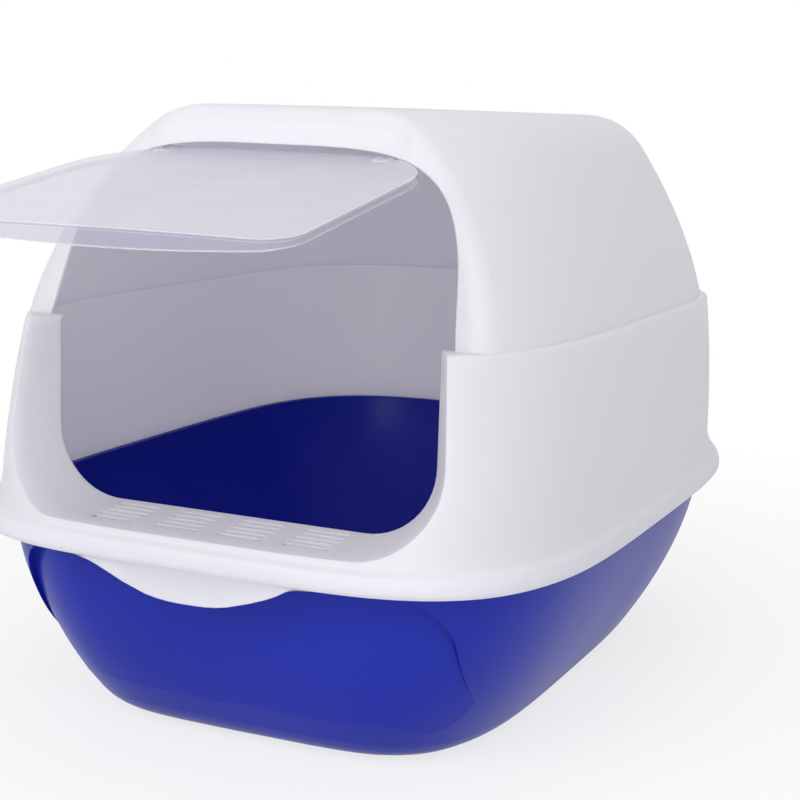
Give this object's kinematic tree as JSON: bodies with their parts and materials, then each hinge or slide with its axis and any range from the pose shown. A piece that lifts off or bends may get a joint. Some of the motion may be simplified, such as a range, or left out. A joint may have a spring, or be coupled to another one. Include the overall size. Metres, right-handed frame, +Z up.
{
  "type": "covered litter box",
  "caption": "Covered litter box: deep pan, domed hood that drops over its rim, see-through entry flap on stub pins, slotted sill, filter holder under a roof vent.",
  "frame": {"origin": "on the floor, under the middle of the hood's skirt", "axes": "+Z up, +Y to the back, the entry faces -Y, +X to the right seen from the front"},
  "size_m": [0.4002, 0.6461, 0.382],
  "materials": {
    "pan_plastic": "glossy moulded plastic, royal blue",
    "hood_plastic": "satin to glossy moulded plastic, cool white",
    "flap_plastic": "milky see-through moulded plastic",
    "holder_plastic": "plain moulded plastic, white",
    "filter_felt": "carbon-loaded felt, black"
  },
  "bodies": {
    "pan": {"litter_pan": "pan_plastic"},
    "hood": {"hood": "hood_plastic"},
    "flap": {"entry_flap": "flap_plastic"},
    "filter": {"filter_holder": "holder_plastic", "carbon_filter": "filter_felt"}
  },
  "joints": [
    {"name": "hood_lift", "type": "slide", "parent": "pan", "child": "hood", "axis": [0, 0, 1], "range_m": [0, 0.2]},
    {"name": "flap_swing", "type": "hinge", "parent": "hood", "child": "flap", "pos_m": [0, -0.1725, 0.354], "axis": [1, 0, 0], "range_deg": [0, 150]},
    {"name": "filter_slide", "type": "slide", "parent": "hood", "child": "filter", "axis": [0, -1, 0], "range_m": [0, 0.09]}
  ]
}
